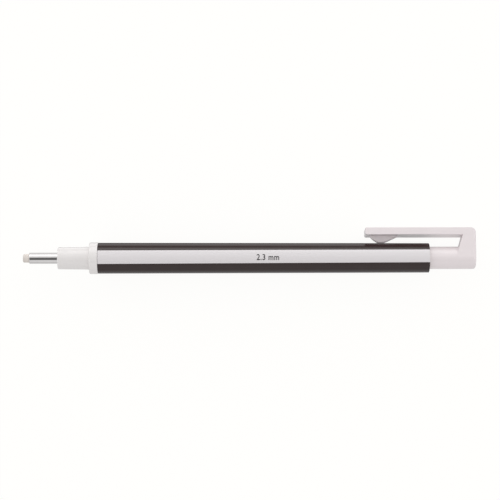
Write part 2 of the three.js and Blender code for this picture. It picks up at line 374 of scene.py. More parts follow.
def spring_tree():
    """Coil spring: a compression spring along the X axis, with a dead coil closed up at each end."""
    tree, given, out = new_tree(
        "Coil spring",
        "GeometryNodeTree",
        [
            ("Geometry", "NodeSocketGeometry", None),
            ("Front", "NodeSocketFloat", 0.0),
            ("Back", "NodeSocketFloat", 10.0),
            ("Radius", "NodeSocketFloat", 2.5),
            ("Wire Radius", "NodeSocketFloat", 0.2),
            ("Coils", "NodeSocketInt", 8),
            ("Steps", "NodeSocketInt", 40),
            ("Material", "NodeSocketMaterial", None),
        ],
        [("Geometry", "NodeSocketGeometry")],
    )
    wire = given["Wire Radius"]
    line = add(tree, "GeometryNodeCurvePrimitiveLine").outputs[0]
    count = maths(tree, "MULTIPLY", given["Coils"], given["Steps"])
    path = add(tree, "GeometryNodeResampleCurve", {"Curve": line, "Count": count}).outputs[0]
    factor = tree.nodes.new("GeometryNodeSplineParameter").outputs["Factor"]
    turns = maths(tree, "MULTIPLY", factor, given["Coils"])
    angle = maths(tree, "MULTIPLY", turns, math.tau)
    closed = maths(tree, "MULTIPLY", wire, 2.1)
    last = maths(tree, "SUBTRACT", given["Coils"], 1.0)
    front = maths(tree, "MINIMUM", turns, 1.0)
    back = maths(tree, "MAXIMUM", maths(tree, "SUBTRACT", turns, last), 0.0)
    dead = maths(tree, "MULTIPLY", maths(tree, "ADD", front, back), closed)
    ends = maths(tree, "MULTIPLY", maths(tree, "ADD", wire, closed), 2.0)
    length = maths(tree, "SUBTRACT", given["Back"], given["Front"])
    live = maths(tree, "SUBTRACT", length, ends)
    opened = maths(tree, "MULTIPLY", ranged(tree, turns, 1.0, last, ease="LINEAR"), live)
    start = maths(tree, "ADD", given["Front"], wire)
    x = maths(tree, "ADD", start, maths(tree, "ADD", dead, opened))
    y = maths(tree, "MULTIPLY", given["Radius"], maths(tree, "COSINE", angle))
    z = maths(tree, "MULTIPLY", given["Radius"], maths(tree, "SINE", angle))
    spot = add(tree, "ShaderNodeCombineXYZ", {"X": x, "Y": y, "Z": z}).outputs[0]
    coil = add(tree, "GeometryNodeSetPosition", {"Geometry": path, "Position": spot}).outputs[0]
    section = add(tree, "GeometryNodeCurvePrimitiveCircle", {"Resolution": 14, "Radius": wire}).outputs[0]
    values = {"Curve": coil, "Profile Curve": section, "Fill Caps": True}
    return finish_tree(tree, given, out, add(tree, "GeometryNodeCurveToMesh", values).outputs[0])


# ------------------------------------------------------------------ meshes


def evaluated_mesh(mesh, kind, tune):
    """The plain mesh that a modifier makes of a mesh."""
    seed = bpy.data.objects.new("seed", mesh)
    bpy.context.scene.collection.objects.link(seed)
    tune(seed.modifiers.new("build", kind))
    graph = bpy.context.evaluated_depsgraph_get()
    made = bpy.data.meshes.new_from_object(seed.evaluated_get(graph), depsgraph=graph)
    bpy.data.objects.remove(seed)
    bpy.data.meshes.remove(mesh)
    return made


def grown(tree, mesh, **values):
    """The mesh that a geometry tree makes of a mesh, with its inputs given by name."""

    def tune(modifier):
        modifier.node_group = tree
        for item in tree.interface.items_tree:
            key = item.name.lower().replace(" ", "_")
            if item.in_out == "INPUT" and key in values:
                modifier[item.identifier] = values[key]

    return evaluated_mesh(mesh, "NODES", tune)


def united(mesh, other):
    """Two closed meshes joined into one."""
    tool = bpy.data.objects.new("tool", other)
    bpy.context.scene.collection.objects.link(tool)

    def tune(modifier):
        modifier.operation = "UNION"
        modifier.solver = "EXACT"
        modifier.object = tool

    made = evaluated_mesh(mesh, "BOOLEAN", tune)
    bpy.data.objects.remove(tool)
    bpy.data.meshes.remove(other)
    return made


def points_mesh(points):
    """A mesh of loose points."""
    mesh = bpy.data.meshes.new("points")
    mesh.from_pydata([(*point, 0.0) for point in points], [], [])
    return mesh


def turned(profile, material, closed=True):
    """The mesh of a profile turned about the pen's axis."""
    points = profile + profile[:1] if closed else profile
    sides = bpy.context.scene.eraser_pen_sizes.sides
    return grown(made_once(turned_tree), points_mesh(points), sides=sides, material=material)


def lofted(rings):
    """A closed mesh through rings of points, capped at both ends. A first ring may be one point."""
    shape = bmesh.new()
    rows = [[shape.verts.new(point) for point in ring] for ring in rings]
    for a, b in zip(rows, rows[1:]):
        for i in range(len(b)):
            j = (i + 1) % len(b)
            shape.faces.new([a[0], b[j], b[i]] if len(a) == 1 else [a[i], a[j], b[j], b[i]])
    for cap in (rows[0], rows[-1]):
        if len(cap) > 1:
            shape.faces.new(cap)
    bmesh.ops.remove_doubles(shape, verts=shape.verts, dist=0.0005)
    bmesh.ops.recalc_face_normals(shape, faces=shape.faces)
    mesh = bpy.data.meshes.new("loft")
    shape.to_mesh(mesh)
    shape.free()
    return mesh


def finish_piece(name, mesh, material, slot, body, *nodes):
    """Places a mesh in the model's frame as a named piece in its material, riding on a body."""
    mesh.name = name
    mesh.transform(PEN)
    mesh.materials.clear()
    mesh.materials.append(material)
    mesh.shade_smooth()
    mesh.set_sharp_from_angle(angle=CREASE)
    piece = bpy.data.objects.new(name, mesh)
    bpy.context.scene.collection.objects.link(piece)
    if nodes:
        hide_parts(*nodes)
    if body:
        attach(piece, body)
    return piece


# ------------------------------------------------------------------ shader groups


def grain_group():
    """Surface grain: the faint unevenness of a moulded or lacquered surface, as a height."""
    tree, given, out = new_tree(
        "Surface grain",
        "ShaderNodeTree",
        [
            ("Vector", "NodeSocketVector", None),
            ("Size", "NodeSocketFloat", 0.5),
            ("Fine Share", "NodeSocketFloat", 0.4),
        ],
        [("Height", "NodeSocketFloat")],
    )
    scale = maths(tree, "DIVIDE", 1.0, given["Size"])
    values = {"Vector": given["Vector"], "Scale": scale, "Detail": 2.0}
    broad = add(tree, "ShaderNodeTexNoise", values).outputs[0]
    values = {"Vector": given["Vector"], "Scale": maths(tree, "MULTIPLY", scale, 5.0), "Detail": 3.0}
    fine = add(tree, "ShaderNodeTexNoise", values).outputs[0]
    tree.links.new(maths(tree, "MULTIPLY_ADD", fine, given["Fine Share"], broad), out["Height"])
    return tree


def handling_group():
    """Handling: what hands and pencil cases leave, smudges that dull the gloss and specks of soil."""
    tree, given, out = new_tree(
        "Handling",
        "ShaderNodeTree",
        [
            ("Vector", "NodeSocketVector", None),
            ("Colour", "NodeSocketColor", (0.8, 0.8, 0.8, 1)),
            ("Soil Colour", "NodeSocketColor", (0.36, 0.33, 0.3, 1)),
            ("Soil", "NodeSocketFloat", 0.1),
            ("Roughness", "NodeSocketFloat", 0.3),
            ("Smudge", "NodeSocketFloat", 0.1),
        ],
        [("Colour", "NodeSocketColor"), ("Roughness", "NodeSocketFloat")],
    )
    values = {"Vector": given["Vector"], "Scale": 0.3, "Detail": 4.0, "Distortion": 0.6}
    patches = ranged(tree, add(tree, "ShaderNodeTexNoise", values).outputs[0], 0.45, 0.7)
    rough = maths(tree, "MULTIPLY_ADD", patches, given["Smudge"], given["Roughness"])
    tree.links.new(rough, out["Roughness"])
    values = {"Vector": given["Vector"], "Scale": 5.0, "Detail": 2.0}
    specks = ranged(tree, add(tree, "ShaderNodeTexNoise", values).outputs[0], 0.7, 0.78)
    cover = maths(tree, "MULTIPLY_ADD", patches, 0.2, specks)
    share = maths(tree, "MULTIPLY", cover, given["Soil"])
    tree.links.new(mixed(tree, share, given["Colour"], given["Soil Colour"]), out["Colour"])
    return tree


def lines_group():
    """Tool lines: the fine parallel lines that drawing, turning or wiping leaves in a surface."""
    tree, given, out = new_tree(
        "Tool lines",
        "ShaderNodeTree",
        [
            ("Vector", "NodeSocketVector", None),
            ("Lines per Millimetre", "NodeSocketVector", (0.1, 8.0, 8.0)),
            ("Roughness", "NodeSocketFloat", 0.1),
            ("Scuff", "NodeSocketFloat", 0.1),
        ],
        [("Height", "NodeSocketFloat"), ("Roughness", "NodeSocketFloat")],
    )
    values = {0: given["Vector"], 1: given["Lines per Millimetre"]}
    stretched = add(tree, "ShaderNodeVectorMath", values, operation="MULTIPLY").outputs[0]
    values = {"Vector": stretched, "Scale": 1.0, "Detail": 3.0}
    lines = add(tree, "ShaderNodeTexNoise", values).outputs[0]
    tree.links.new(lines, out["Height"])
    scuffed = ranged(tree, lines, 0.45, 0.75)
    rough = maths(tree, "MULTIPLY_ADD", scuffed, given["Scuff"], given["Roughness"])
    tree.links.new(rough, out["Roughness"])
    return tree


# ------------------------------------------------------------------ materials


def new_material(name):
    """An empty material with its Principled shader, and the pen's own millimetres as a vector."""
    material = bpy.data.materials.new(name)
    material.use_nodes = True
    tree = material.node_tree
    tree.nodes.clear()
    shader = tree.nodes.new("ShaderNodeBsdfPrincipled")
    output = tree.nodes.new("ShaderNodeOutputMaterial")
    tree.links.new(shader.outputs[0], output.inputs["Surface"])
    turn = Matrix.Rotation(ROLL, 3, "X")
    values = {
        "Vector": tree.nodes.new("ShaderNodeTexCoord").outputs["Object"],
        "Location": -(turn @ TIP) / MM,
        "Rotation": (ROLL, 0, 0),
        "Scale": (1 / MM, 1 / MM, 1 / MM),
    }
    return material, tree, shader, add(tree, "ShaderNodeMapping", values).outputs[0]


def group(tree, make, values):
    """A node that uses a shader group, with its inputs given by name."""
    node = tree.nodes.new("ShaderNodeGroup")
    node.node_tree = made_once(make)
    for key, value in values.items():
        if isinstance(value, bpy.types.NodeSocket):
            tree.links.new(value, node.inputs[key])
        elif node.inputs[key].type == "RGBA":
            node.inputs[key].default_value = (*value[:3], 1)
        else:
            node.inputs[key].default_value = value
    return node.outputs


def bump(tree, shader, height, depth):
    """Feeds a height to a shader's normal, where a height of 1 is a depth in millimetres."""
    values = {"Height": height, "Distance": depth * MM, "Strength": 1.0}
    tree.links.new(add(tree, "ShaderNodeBump", values).outputs[0], shader.inputs["Normal"])


def moulded(name, colour, roughness, grain, soil=0.1, smudge=0.08):
    """A moulded plastic or rubber: slightly mottled, a little handled, its grain a size and a depth."""
    material, tree, shader, vector = new_material(name)
    mottle = [0.98 * c for c in colour]
    values = {"Vector": vector, "Scale": 0.22, "Detail": 3.0}
    cloud = ranged(tree, add(tree, "ShaderNodeTexNoise", values).outputs[0], 0.35, 0.7)
    values = {
        "Vector": vector,
        "Colour": mixed(tree, cloud, colour, mottle),
        "Soil": soil,
        "Roughness": roughness,
        "Smudge": smudge,
    }
    handled = group(tree, handling_group, values)
    tree.links.new(handled["Colour"], shader.inputs["Base Color"])
    tree.links.new(handled["Roughness"], shader.inputs["Roughness"])
    size, depth = grain
    grained = group(tree, grain_group, {"Vector": vector, "Size": size})
    bump(tree, shader, grained["Height"], depth)
    return material, tree, shader, vector


def metal(name, colour, tarnish, roughness, lines, depth):
    """A bare metal, with the fine lines that drawing or turning leaves in it."""
    material, tree, shader, vector = new_material(name)
    shader.inputs["Metallic"].default_value = 1.0
    values = {"Vector": vector, "Scale": 0.8, "Detail": 4.0}
    cloud = ranged(tree, add(tree, "ShaderNodeTexNoise", values).outputs[0], 0.4, 0.75)
    tree.links.new(mixed(tree, cloud, colour, tarnish), shader.inputs["Base Color"])
    values = {"Vector": vector, "Lines per Millimetre": lines, "Roughness": roughness, "Scuff": 0.12}
    lined = group(tree, lines_group, values)
    tree.links.new(lined["Roughness"], shader.inputs["Roughness"])
    bump(tree, shader, lined["Height"], depth)
    return material


def past(tree, angle, border, blur):
    """A mask that turns on past an angle, over a narrow blur, both in degrees."""
    return ranged(tree, angle, math.radians(border - blur), math.radians(border + blur))


def printed_lacquer():
    """The barrel's black lacquer, with a band of white at each side."""
    colours = bpy.context.scene.eraser_pen_colours
    sizes = bpy.context.scene.eraser_pen_sizes
    material, tree, shader, vector = new_material("Printed lacquer")
    split = add(tree, "ShaderNodeSeparateXYZ", {0: vector}).outputs
    low, high = pen_box("barrel")
    twist = ranged(tree, split["X"], low.x, high.x, sizes.print_twist, 0.0, "LINEAR")
    about_axis = maths(tree, "ARCTAN2", split["Z"], split["Y"])
    from_clip = maths(tree, "ABSOLUTE", maths(tree, "SUBTRACT", about_axis, twist))
    ink_bleed = 0.02
    blur = math.degrees(ink_bleed / high.z)
    past_start = past(tree, from_clip, math.degrees(sizes.white_start), blur)
    past_end = past(tree, from_clip, math.degrees(sizes.white_end), blur)
    bands = mixed(tree, past_start, colours.black, colours.white_print)
    bands = mixed(tree, past_end, bands, colours.black)
    bore = min(point.y for point in cad_profile("barrel"))
    lacquer_start, lacquer_full = bore + 0.45, bore + 0.5
    outside = ranged(tree, from_axis(tree, split), lacquer_start, lacquer_full)
    values = {
        "Vector": vector,
        "Colour": mixed(tree, outside, colours.resin, bands),
        "Soil": 0.04,
        "Roughness": 0.13,
        "Smudge": 0.04,
    }
    handled = group(tree, handling_group, values)
    tree.links.new(handled["Colour"], shader.inputs["Base Color"])
    tree.links.new(handled["Roughness"], shader.inputs["Roughness"])
    peel = group(tree, grain_group, {"Vector": vector, "Size": 1.4, "Fine Share": 0.1})
    bump(tree, shader, peel["Height"], 0.003)
    return material


def from_axis(tree, split):
    """The distance from the pen's axis, from a vector's parts."""
    squares = [maths(tree, "MULTIPLY", split[axis], split[axis]) for axis in ("Y", "Z")]
    return maths(tree, "SQRT", maths(tree, "ADD", *squares))


def print_ink(name, colour):
    """A pad-printed ink, a touch uneven in its cover."""
    return moulded(name, colour, roughness=0.32, grain=(0.2, 0.002), soil=0.02)[0]


def white_plastic(name, colour):
    """The moulded white of the nose, the button and the clip."""
    grain = (0.6, 0.002)
    material, _, shader, _ = moulded(name, colour, 0.2, grain, soil=0.04, smudge=0.05)
    shader.inputs["Specular IOR Level"].default_value = 0.7
    return material


def worn_rubber():
    """The eraser's white rubber, smudged with graphite where its tip has been rubbed."""
    colours = bpy.context.scene.eraser_pen_colours
    grain = (0.12, 0.012)
    material, tree, shader, vector = moulded("Eraser rubber", colours.rubber, 0.62, grain)
    x = add(tree, "ShaderNodeSeparateXYZ", {0: vector}).outputs["X"]
    values = {"Vector": vector, "Scale": 2.2, "Detail": 5.0, "Distortion": 1.2}
    smear = ranged(tree, add(tree, "ShaderNodeTexNoise", values).outputs[0], 0.4, 0.75)
    rubbed = maths(tree, "MULTIPLY", ranged(tree, x, 0.1, 0.9, 0.5, 0.0), smear)
    clean = shader.inputs["Base Color"].links[0].from_socket
    tree.links.new(mixed(tree, rubbed, clean, colours.graphite), shader.inputs["Base Color"])
    return material


# ------------------------------------------------------------------ settings


def length(name, description, millimetres):
    """A length setting, given in millimetres and kept in metres."""
    return FloatProperty(
        name=name, description=description, default=millimetres * MM, min=0.0, unit="LENGTH", precision=5
    )


def angle(name, description, degrees):
    """An angle setting, given in degrees and kept in radians."""
    return FloatProperty(
        name=name, description=description, default=math.radians(degrees), subtype="ANGLE"
    )


def colour(name, description, *rgb):
    """A colour setting, in linear light."""
    return FloatVectorProperty(
        name=name, description=description, default=rgb, size=3, min=0.0, max=1.0, subtype="COLOR"
    )


class EraserPenSizes(PropertyGroup):
    """Sizes that the CAD model doesn't give: edge rounds, the bands' layout and finer shapes."""

    sides: IntProperty(name="Sides", description="Facets round a turned piece", default=144, min=32)
    edge_round: length("Edge Round", "Radius of the moulded pieces' edges", 0.12)
    metal_round: length("Metal Round", "Radius of the metal pieces' edges", 0.06)
    tip_dome: length("Tip Dome", "How far the worn eraser's tip stands out at its middle", 0.4)
    tip_wear: length("Tip Wear", "How deep the hollows are that rubbing leaves in the tip", 0.09)
    print_twist: angle("Print Twist", "How far the bands are turned towards +Z at the nose end", 4.6)
    white_start: angle("White Start", "Where the white bands start, from the clip", 63.3)
    white_end: angle("White End", "Where the white bands end, from the clip", 114.9)
    ink_height: length("Ink Height", "How far the size marking stands out of the barrel", 0.012)
    clip_thickness: length("Clip Thickness", "The clip arm's thickness", 1.9)
    wall_lean: FloatProperty(
        name="Wall Lean", description="How far the button's wall leans, per unit of height", default=0.296
    )
    rib_width: length("Rib Width", "The width of the rib under the clip's tip", 1.5)


class EraserPenColours(PropertyGroup):
    """The finishes' colours."""

    black: colour("Black", "The barrel's lacquer", 0.022, 0.0085, 0.0075)
    white_print: colour("White Print", "The band at each side", 0.775, 0.743, 0.755)
    resin: colour("Resin", "The barrel's bare inside", 0.72, 0.7, 0.67)
    nose_white: colour("Nose White", "The nose cone", 0.85, 0.82, 0.81)
    button_white: colour("Button White", "The button and its clip", 0.86, 0.79, 0.8)
    rubber: colour("Rubber", "The eraser", 0.77, 0.71, 0.66)
    graphite: colour("Graphite", "What rubbing leaves on the eraser", 0.3, 0.29, 0.29)
    steel: colour("Steel", "The guide pipe", 0.8, 0.78, 0.775)
    natural: colour("Natural", "The undyed plastic of the mechanism", 0.66, 0.63, 0.56)
    silicone: colour("Silicone", "The tip retainer", 0.5, 0.53, 0.54)
    brass: colour("Brass", "The chuck ring", 0.78, 0.56, 0.24)
    floor: colour("Floor", "The floor", 0.985, 0.98, 0.965)


class EraserPenStudio(PropertyGroup):
    """The camera and the light."""

    camera_height: FloatProperty(
        name="Camera Height", description="Above the pen's axis", default=0.49, unit="LENGTH"
    )
    camera_along: length("Camera Along", "How far towards the button the camera stands", 0.24)
    camera_aside: length("Camera Aside", "How far towards the clip's side the camera stands", 0.2)
    camera_turn: angle("Camera Turn", "How far the camera is turned about its line of sight", -0.066)
    focal_length: FloatProperty(
        name="Focal Length", description="The camera's lens", default=132.96, unit="CAMERA"
    )
    softbox: FloatProperty(name="Softbox", description="How bright the panel mirrors", default=2.0)
    walls: FloatProperty(name="Walls", description="How bright the white surround mirrors", default=0.8)
    fill_light: FloatProperty(name="Fill Light", description="Light from all round", default=0.81)
    side_light: FloatProperty(
        name="Side Light", description="Light added from the clip's side", default=0.48
    )


SETTINGS = {
    "eraser_pen_sizes": EraserPenSizes,
    "eraser_pen_colours": EraserPenColours,
    "eraser_pen_studio": EraserPenStudio,
}


def mm(setting):
    """A length setting in millimetres."""
    return getattr(bpy.context.scene.eraser_pen_sizes, setting) / MM


# ------------------------------------------------------------------ turned pieces


def make_turned(node, material, slot, body, edge, meridian=0.0):
    """A turned piece in the place of its CAD solid, with its sharp edges rounded."""
    profile = softened(cad_profile(node, meridian), edge)
    return finish_piece(f"{node}_skin", turned(profile, material), material, slot, body, node)


class MakeBarrel(Operator):
    """The lacquered barrel tube, with its bands"""

    bl_idname = "eraser_pen.make_barrel"
    bl_label = "Make Barrel"

    def execute(self, context):
        edge = mm("edge_round")
        make_turned("barrel", printed_lacquer(), "printed_barrel", "barrel_assembly", edge)
        return {"FINISHED"}


class MakeNose(Operator):
    """The nose cone, its steel guide pipe and the silicone ring that holds the eraser"""

    bl_idname = "eraser_pen.make_nose"
    bl_label = "Make Nose"

    def execute(self, context):
        colours = context.scene.eraser_pen_colours
        white = white_plastic("Nose plastic", colours.nose_white)
        make_turned("nose_cone", white, "white_plastic", "barrel_assembly", mm("edge_round"))
        steel = metal(
            "Polished steel",
            colours.steel,
            tarnish=(0.76, 0.74, 0.735),
            roughness=0.03,
            lines=(0.05, 9.0, 9.0),
            depth=0.0001,
        )
        make_turned("guide_pipe", steel, "polished_steel", "barrel_assembly", mm("metal_round"))
        soft = moulded("Silicone", colours.silicone, roughness=0.55, grain=(0.3, 0.006))[0]
        make_turned("tip_retainer", soft, "silicone", "barrel_assembly", mm("edge_round"))
        return {"FINISHED"}


def eraser_profile(low, high):
    """The eraser's profile: a worn dome, close rings behind it that can be hollowed, and a cut end."""
    radius, dome, edge = high.z, mm("tip_dome"), mm("edge_round")
    squareness = 0.62
    ring_step = 0.15
    tip = [
        Vector((low.x + dome * (1 - math.cos(a) ** squareness), radius * math.sin(a) ** squareness))
        for a in swept(0, 90, 14)
    ]
    rings = [Vector((low.x + dome + ring_step * k, radius)) for k in range(1, 16)]
    end = [Vector((high.x - edge, radius)), Vector((high.x, radius - edge)), Vector((high.x, 0.0))]
    return tip + rings + end


class MakeEraser(Operator):
    """The stick of eraser, with its tip rubbed round and a little hollowed"""

    bl_idname = "eraser_pen.make_eraser"
    bl_label = "Make Eraser"

    def execute(self, context):
        low, high = pen_box("eraser_refill")
        rubber = worn_rubber()
        mesh = turned(eraser_profile(low, high), rubber, closed=False)
        worn_length = 1.6
        for vertex in mesh.vertices:
            near_tip = 1 - eased(vertex.co.x, low.x, low.x + worn_length)
            hollow = 0.5 + 0.5 * noise.noise(vertex.co * 1.7) + 0.2 * noise.noise(vertex.co * 6.0)
            inward = Vector((0.8, -vertex.co.y, -vertex.co.z)).normalized()
            vertex.co += inward * max(hollow, 0.0) * near_tip * mm("tip_wear")
        finish_piece("eraser_stick", mesh, rubber, "eraser_rubber", "eraser", "eraser_refill")
        return {"FINISHED"}


class MakeFeed(Operator):
    """The feed inside the barrel: chuck, clutch ring, sleeve, holder and refill tube"""

    bl_idname = "eraser_pen.make_feed"
    bl_label = "Make Feed"

    def execute(self, context):
        colours = context.scene.eraser_pen_colours
        edge = mm("edge_round")
        natural = moulded("Natural plastic", colours.natural, roughness=0.34, grain=(0.5, 0.004))[0]
        make_turned("chuck_sleeve", natural, "natural_plastic", "barrel_assembly", edge)
        make_turned("chuck_holder", natural, "natural_plastic", "feed_unit", edge)
        make_turned("refill_tube", natural, "natural_plastic", "feed_unit", edge)
        brass = metal(
            "Brass",
            colours.brass,
            tarnish=(0.55, 0.36, 0.16),
            roughness=0.16,
            lines=(12.0, 0.4, 0.4),
            depth=0.002,
        )
        make_turned("chuck_ring", brass, "brass", "squeeze_ring", mm("metal_round"))
        self.make_chuck(natural, edge)
        return {"FINISHED"}

    def make_chuck(self, material, edge):
        """The chuck: a turned body that three slits part into jaws."""
        jaw_middle = math.radians(63)
        slit_end = 33.0
        overshoot = 1.0
        low, high = pen_box("chuck")
        body = turned(softened(cad_profile("chuck", jaw_middle), edge), material)
        mesh = grown(
            made_once(slit_tree),
            body,
            slit_width=0.5,
            front=low.x - overshoot,
            back=slit_end,
            outside=high.y + overshoot,
            material=material,
        )
        finish_piece("chuck_skin", mesh, material, "natural_plastic", "feed_unit", "chuck")


class MakeSpring(Operator):
    """The coil spring that pulls the chuck back"""

    bl_idname = "eraser_pen.make_spring"
    bl_label = "Make Spring"

    def execute(self, context):
        low, high = pen_box("chuck_spring")
        wire = 0.2
        steel = metal(
            "Spring steel",
            (0.5, 0.49, 0.48),
            tarnish=(0.36, 0.35, 0.34),
            roughness=0.2,
            lines=(3.0, 3.0, 3.0),
            depth=0.001,
        )
        mesh = grown(
            made_once(spring_tree),
            points_mesh([(low.x, 0.0)]),
            front=low.x,
            back=high.x,
            radius=high.z - wire,
            wire_radius=wire,
            material=steel,
        )
        spring = finish_piece("spring_coil", mesh, steel, "spring_steel", "barrel_assembly", "chuck_spring")
        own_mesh(spring)
        return {"FINISHED"}


# ------------------------------------------------------------------ button and clip


class ButtonShape:
    """The button's outside sizes in millimetres, from its CAD solid and the settings."""

    def __init__(self):
        low, high = pen_box("push_button")
        self.front, self.end = low.x, high.x
        self.radius, self.top = high.z, high.y
        self.under = high.y - mm("clip_thickness")
        self.root = pen_box("clip_arm")[1].x
        self.lean = bpy.context.scene.eraser_pen_sizes.wall_lean
        self.side_round = 0.12
        self.wall_edge = 0.18
        self.top_end_round = 1.35
        self.side_end_round = 0.7
        self.wall_root = self.end - 3.5

    def wall(self, y):
        """Where the leaning wall under the clip stands, at a height above the axis."""
        return self.wall_root - self.lean * (self.under - y)

    def section(self, x):
        """The block's section at x as (y, z) points: straight sides under a flat top, on a half round."""
        top = self.top - rounding(x, self.end, self.top_end_round)
        side = self.radius - rounding(x, self.end, self.side_end_round)
        corner = self.side_round
        flat = [(top, (side - corner - SUPPORT) * k / 4) for k in range(4)]
        arc = corner_arc(top - corner, side - corner, corner, 0)
        heights = [6.9, 6.3] + [self.under - drop for drop in (0.0, 0.06, 0.12, self.wall_edge)]
        heights += [self.radius / math.tan(a) for a in swept(29, 90, 18)]
        share = (top - corner) / (self.top - corner)
        upright = [(y * share, side) for y in heights]
        belly = [(side * math.cos(a), side * math.sin(a)) for a in swept(90, 180, 16)[1:]]
        half = flat + arc + upright + belly
        return half + [(y, -z) for y, z in half[-2:0:-1]]


def button_rings(shape):
    """Rings of points from the end of the button's core, out round its socket and stub to its end."""
    outline = shape.section(shape.wall_root)
    spokes = [Vector(point).normalized() for point in outline]
    core_end, core_radius = shape.end - 4, 1.45
    stub_length = 4
    mouth_round = 0.2
    end_gap, side_gap = 0.1, 0.06
    tube = pen_box("refill_tube")[1]
    socket_end, socket_radius = tube.x + end_gap, tube.z + side_gap
    stub = [
        Vector((core_end, 0.0)),
        Vector((core_end, core_radius)),
        Vector((socket_end, core_radius)),
        Vector((socket_end, socket_radius)),
        Vector((shape.front, socket_radius)),
        Vector((shape.front, shape.radius)),
        Vector((shape.front + stub_length, shape.radius)),
    ]
    soft = softened(stub, mouth_round, closed=False)
    rings = [[(core_end, 0.0, 0.0)]]
    rings += [[(x, radius * s.x, radius * s.y) for s in spokes] for x, radius in soft[1:]]
    rings += wall_rings(shape, outline, spokes)
    for a in swept(0, 90, 12):
        x = shape.end - shape.top_end_round * (1 - math.sin(a))
        rings.append([(x, y, z) for y, z in shape.section(x)])
    return rings


def wall_rings(shape, outline, spokes):
    """Rings where the stub runs into the leaning wall, and where the wall's edges turn to the sides."""
    rings = []
    root_fillet = 0.2
    gap_share = 0.4
    gaps = [Vector(point).length - shape.radius for point in outline]
    room = [gap_share * max(gap, 0.0) for gap in gaps]
    for a in swept(0, 90, 5):
        ring = []
        for spoke, most in zip(spokes, room):
            fillet = min(root_fillet, most)
            out = spoke * (shape.radius + fillet * (1 - math.cos(a)))
            ring.append((shape.wall(out.x) - fillet * (1 - math.sin(a)), *out))
        rings.append(ring)
    for a in swept(0, 90, 5):
        ring = []
        for (y, z), most in zip(outline, room):
            fading = 1 - eased(y, shape.under - shape.wall_edge, shape.under)
            edge = min(shape.wall_edge, most) * fading
            inset = math.copysign(edge * (1 - math.sin(a)), z)
            ring.append((shape.wall(y) + edge * (1 - math.cos(a)), y, z - inset))
        rings.append(ring)
    return rings


class MakeButton(Operator):
    """The push button: a round stub in the barrel, and the block outside that carries the clip"""

    bl_idname = "eraser_pen.make_button"
    bl_label = "Make Button"

    def execute(self, context):
        white = white_plastic("Button plastic", context.scene.eraser_pen_colours.button_white)
        mesh = lofted(button_rings(ButtonShape()))
        finish_piece("button_block", mesh, white, "white_plastic", "button", "push_button")
        return {"FINISHED"}


def arm_rings(shape, tip):
    """Rings of the clip's arm, from the leaning root to its rounded tip."""
    step = 1.0
    tip_round, outer_tip_round, side_tip_round = 0.45, 0.25, 0.2
    lean_length = 4
    stations = [shape.wall_root - step * k for k in range(int((shape.wall_root - tip) / step))]
    stations += [tip + tip_round * (1 - math.sin(a)) for a in swept(0, 90, 9)]
    rings = []
    for x in stations:
        high = shape.top - rounding(-x, -tip, outer_tip_round)
        low = shape.under + rounding(-x, -tip, tip_round)
        half = shape.radius - rounding(-x, -tip, side_tip_round)
        lean = shape.lean * eased(x, shape.wall_root - lean_length, shape.wall_root)
        outline = rounded_section(low, high, half, shape.side_round, 0.12)
        rings.append([(x + lean * (y - shape.under), y, z) for y, z in outline])
    return rings


def rib_rings(shape, tip, lowest):
    """Rings of the rib under the clip's tip: a quick curve down, a flat, and a long slope back up."""
    sunk = 0.02
    start, curve, flat, end = tip + 1.3, 2.1, 1.3, tip + 9.2
    top = shape.under + sunk
    lows = []
    for a in swept(0, 90, 12):
        ahead = 1 - math.cos(a)
        down = (math.sin(a) + ahead) / 2
        lows.append((start + curve * ahead, top - (top - lowest) * down))
    slope_start = start + curve + flat
    bend = 0.12
    for k in range(19):
        share = k / 18
        rise = (math.hypot(share, bend) - bend) / (math.hypot(1, bend) - bend)
        lows.append((slope_start + (end - slope_start) * share, lowest + (top - lowest) * rise))
    half = mm("rib_width") / 2
    buried = shape.under + 0.5
    rings = []
    for x, low in lows:
        corner = min(0.3, 0.3 * (shape.under + 0.3 - low))
        outline = rounded_section(low, buried, half, 0.05, corner, support=0.01)
        rings.append([(x, y, z) for y, z in outline])
    return rings


class MakeClip(Operator):
    """The clip's springy arm, with the rib under its tip that presses on the barrel"""

    bl_idname = "eraser_pen.make_clip"
    bl_label = "Make Clip"

    def execute(self, context):
        shape = ButtonShape()
        low, _ = pen_box("clip_arm")
        white = bpy.data.materials["Button plastic"]
        mesh = united(lofted(arm_rings(shape, low.x)), lofted(rib_rings(shape, low.x, low.y)))
        clip = finish_piece("clip_spring", mesh, white, "white_plastic", None, "clip_arm")
        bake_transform(clip)
        return {"FINISHED"}


# ------------------------------------------------------------------ size marking


def text_mesh(words, weight):
    """Words as a thin closed mesh, with a weight added to their strokes."""
    font = bpy.data.curves.new("words", "FONT")
    font.body = words
    font.offset = weight
    font.resolution_u = 4
    font.space_character = 1.08
    font.extrude = 0.05
    seed = bpy.data.objects.new("seed", font)
    bpy.context.scene.collection.objects.link(seed)
    graph = bpy.context.evaluated_depsgraph_get()
    mesh = bpy.data.meshes.new_from_object(seed.evaluated_get(graph), depsgraph=graph)
    bpy.data.objects.remove(seed)
    return mesh


